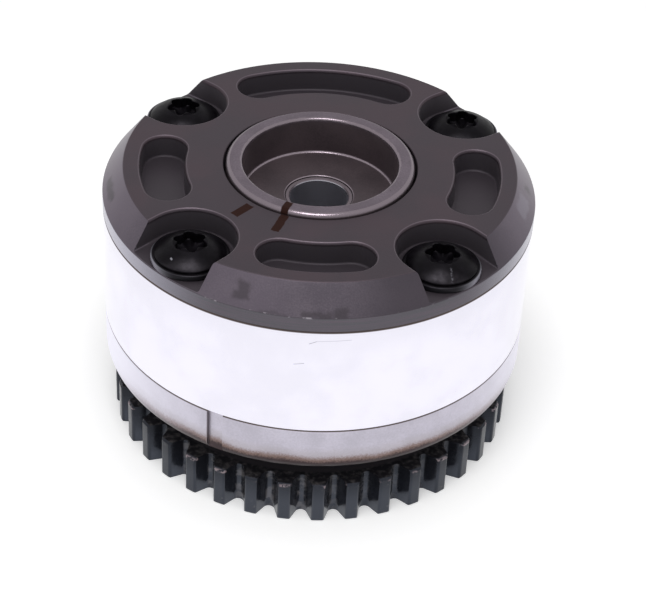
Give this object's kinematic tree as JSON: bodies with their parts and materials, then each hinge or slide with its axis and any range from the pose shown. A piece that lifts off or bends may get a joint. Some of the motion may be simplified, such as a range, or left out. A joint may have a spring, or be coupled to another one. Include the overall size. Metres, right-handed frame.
{
  "type": "cam phaser",
  "caption": "Vane-type cam phaser: toothed chain sprocket under a round vane housing, a bolted front cover with arc pockets, and a rotor that turns a little between its stops.",
  "frame": {"origin": "on the cam axis at the rear face of the chain teeth", "axes": "+Z along the cam axis towards the front cover, -Y towards the short front arc pocket"},
  "size_m": [0.1, 0.1, 0.0677],
  "materials": {
    "sprocket_steel": "satin band, black-oxide teeth",
    "ground_steel": "bright ground",
    "sintered_steel": "steam-oxidised sintered, fine grain",
    "black_bolts": "glossy black oxide",
    "seal_plastic": "moulded",
    "spring_steel": "bright rolled",
    "hardened_steel": "ground"
  },
  "bodies": {
    "housing": {"sprocket": "sprocket_steel", "vane_housing": "ground_steel", "front_cover": "sintered_steel", "cover_bolts": "black_bolts", "lobe_seal_front_left": "seal_plastic", "lobe_seal_front_right": "seal_plastic", "lobe_seal_rear_right": "seal_plastic", "lobe_seal_rear_left": "seal_plastic", "lobe_spring_front_left": "spring_steel", "lobe_spring_front_right": "spring_steel", "lobe_spring_rear_right": "spring_steel", "lobe_spring_rear_left": "spring_steel", "lock_pin_seat": "hardened_steel"},
    "rotor": {"rotor": "sintered_steel", "vane_seal_front": "seal_plastic", "vane_seal_right": "seal_plastic", "vane_seal_rear": "seal_plastic", "vane_seal_left": "seal_plastic", "vane_spring_front": "spring_steel", "vane_spring_right": "spring_steel", "vane_spring_rear": "spring_steel", "vane_spring_left": "spring_steel", "lock_pin_spring": "spring_steel", "lock_pin_sleeve": "hardened_steel", "lock_pin_plug": "hardened_steel"},
    "lock_pin": {"lock_pin": "hardened_steel"}
  },
  "joints": [
    {"name": "rotor_turn", "type": "hinge", "parent": "housing", "child": "rotor", "pos_m": [0, 0, 0.029], "axis": [0, 0, 1], "range_deg": [-21, 0]},
    {"name": "lock_pin_slide", "type": "slide", "parent": "rotor", "child": "lock_pin", "axis": [0, 0, 1], "range_m": [0, 0.0015], "stiffness_N_per_m": 1500, "springref_m": -0.004, "deforming": ["lock_pin_spring"]}
  ]
}
